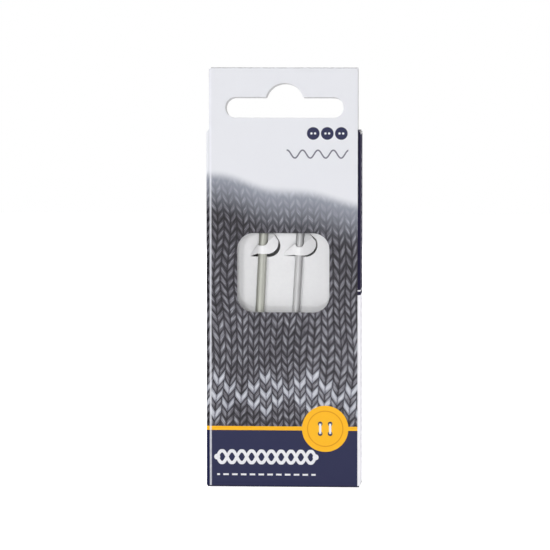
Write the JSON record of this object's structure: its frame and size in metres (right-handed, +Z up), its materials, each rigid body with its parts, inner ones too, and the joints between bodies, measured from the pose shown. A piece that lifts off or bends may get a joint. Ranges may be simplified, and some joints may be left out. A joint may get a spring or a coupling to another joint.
{
  "type": "yarn needle pack",
  "caption": "Hang-tab window carton with folding closures, an inner holder card and loop-eye yarn needles that slide under die-cut hooks.",
  "frame": {"origin": "middle of the base, on the surface that the pack stands on", "axes": "+Z up to the hang tab, -Y out of the printed front, +X to the right seen from the front"},
  "size_m": [0.0418, 0.012, 0.114],
  "materials": {
    "printed_board": "satin",
    "board_reverse": "matte",
    "white_card": "matte",
    "olive_aluminium": "satin",
    "grey_aluminium": "satin",
    "nylon": "gloss"
  },
  "bodies": {
    "carton": {"front_panel": "printed_board", "hang_tab_backing": "board_reverse", "left_side_panel": "printed_board", "right_side_panel": "printed_board", "back_panel": "printed_board", "glue_flap": "board_reverse"},
    "holder": {"holder_card": "white_card", "holder_card_leg_left": "white_card", "holder_card_leg_right": "white_card"},
    "large_needle": {"large_needle_shaft": "olive_aluminium", "large_needle_loop": "nylon"},
    "small_needle": {"small_needle_shaft": "grey_aluminium", "small_needle_loop": "nylon"},
    "top_lid": {"top_lid": "printed_board"},
    "top_tongue": {"top_tongue": "board_reverse"},
    "top_dust_flap_left": {"top_dust_flap_left": "board_reverse"},
    "top_dust_flap_right": {"top_dust_flap_right": "board_reverse"},
    "bottom_lid": {"bottom_lid": "printed_board"},
    "bottom_tongue": {"bottom_tongue": "board_reverse"},
    "bottom_dust_flap_left": {"bottom_dust_flap_left": "board_reverse"},
    "bottom_dust_flap_right": {"bottom_dust_flap_right": "board_reverse"}
  },
  "joints": [
    {"name": "top_lid_hinge", "type": "hinge", "parent": "carton", "child": "top_lid", "pos_m": [0, 0.006, 0.0964], "axis": [-1, 0, 0], "range_deg": [0, 110]},
    {"name": "top_tongue_fold", "type": "hinge", "parent": "top_lid", "child": "top_tongue", "pos_m": [0, -0.0047, 0.0964], "axis": [1, 0, 0], "range_deg": [0, 78]},
    {"name": "top_flap_left_hinge", "type": "hinge", "parent": "carton", "child": "top_dust_flap_left", "pos_m": [-0.0209, 0, 0.0959], "axis": [0, -1, 0], "range_deg": [0, 110]},
    {"name": "top_flap_right_hinge", "type": "hinge", "parent": "carton", "child": "top_dust_flap_right", "pos_m": [0.0209, 0, 0.0959], "axis": [0, 1, 0], "range_deg": [0, 110]},
    {"name": "bottom_lid_hinge", "type": "hinge", "parent": "carton", "child": "bottom_lid", "pos_m": [0, -0.006, 0.0004], "axis": [-1, 0, 0], "range_deg": [0, 110]},
    {"name": "bottom_tongue_fold", "type": "hinge", "parent": "bottom_lid", "child": "bottom_tongue", "pos_m": [0, 0.0047, 0.0004], "axis": [1, 0, 0], "range_deg": [0, 78]},
    {"name": "bottom_flap_left_hinge", "type": "hinge", "parent": "carton", "child": "bottom_dust_flap_left", "pos_m": [-0.0209, 0, 0.0009], "axis": [0, 1, 0], "range_deg": [0, 110]},
    {"name": "bottom_flap_right_hinge", "type": "hinge", "parent": "carton", "child": "bottom_dust_flap_right", "pos_m": [0.0209, 0, 0.0009], "axis": [0, -1, 0], "range_deg": [0, 110]},
    {"name": "holder_slide", "type": "slide", "parent": "carton", "child": "holder", "axis": [0, 0, 1], "range_m": [0, 0.007]},
    {"name": "large_needle_slide", "type": "slide", "parent": "holder", "child": "large_needle", "axis": [0.0499, 0, 0.9988], "range_m": [-0.005, 0.005]},
    {"name": "small_needle_slide", "type": "slide", "parent": "holder", "child": "small_needle", "axis": [0.0556, 0, 0.9985], "range_m": [-0.005, 0.005]}
  ],
  "couplings": [
    {"joint": "top_tongue_fold", "follows": "top_lid_hinge", "ratio": 0.7},
    {"joint": "top_flap_left_hinge", "follows": "top_lid_hinge", "ratio": 1},
    {"joint": "top_flap_right_hinge", "follows": "top_lid_hinge", "ratio": 1},
    {"joint": "bottom_tongue_fold", "follows": "bottom_lid_hinge", "ratio": 0.7},
    {"joint": "bottom_flap_left_hinge", "follows": "bottom_lid_hinge", "ratio": 1},
    {"joint": "bottom_flap_right_hinge", "follows": "bottom_lid_hinge", "ratio": 1}
  ]
}
